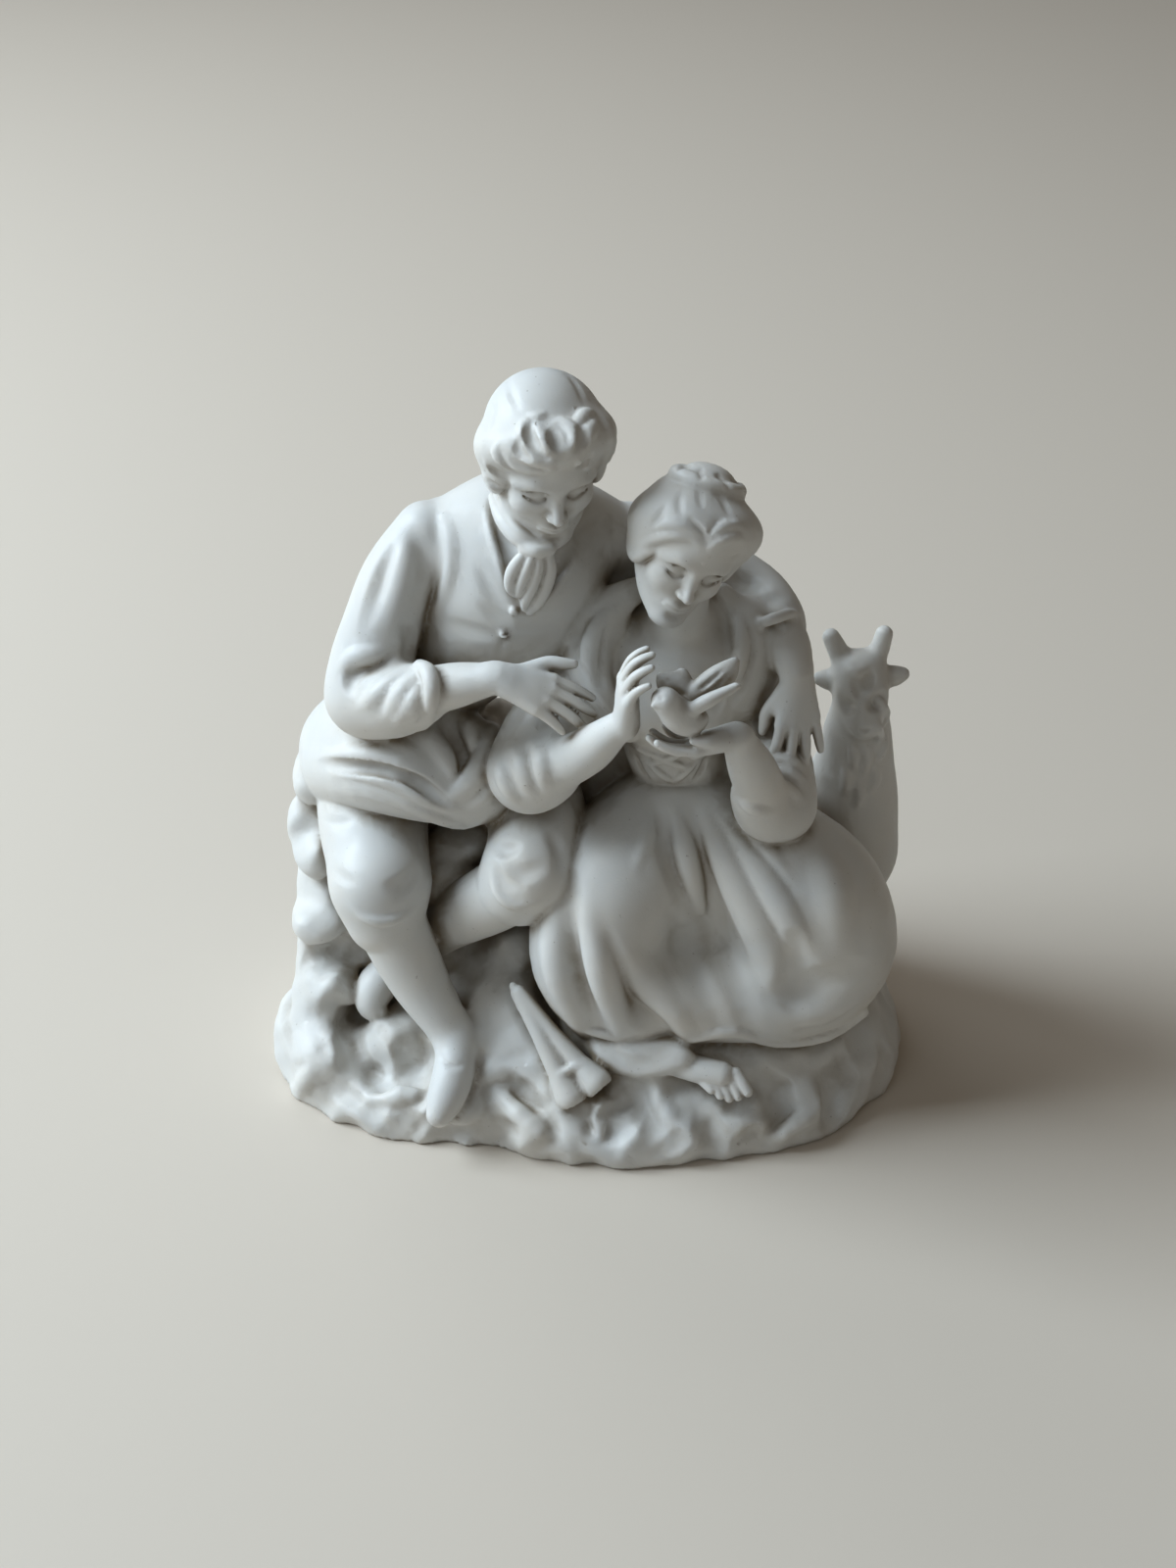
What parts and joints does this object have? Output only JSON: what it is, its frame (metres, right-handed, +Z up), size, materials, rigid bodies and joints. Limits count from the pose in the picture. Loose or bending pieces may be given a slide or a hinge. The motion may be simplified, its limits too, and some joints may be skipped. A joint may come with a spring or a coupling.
{
  "type": "bisque figurine",
  "caption": "Unglazed porcelain figure group: a seated young couple with a small bird and a goat on a rocky base, for display on a shelf.",
  "frame": {"origin": "middle of the flat underside of the rocky base", "axes": "+Z up, -Y towards the viewer in front of the group, +X to the viewer's right"},
  "size_m": [0.1216, 0.0766, 0.141],
  "materials": {
    "bisque": null
  },
  "bodies": {
    "root": {"bisque_figurine": "bisque"}
  },
  "joints": []
}
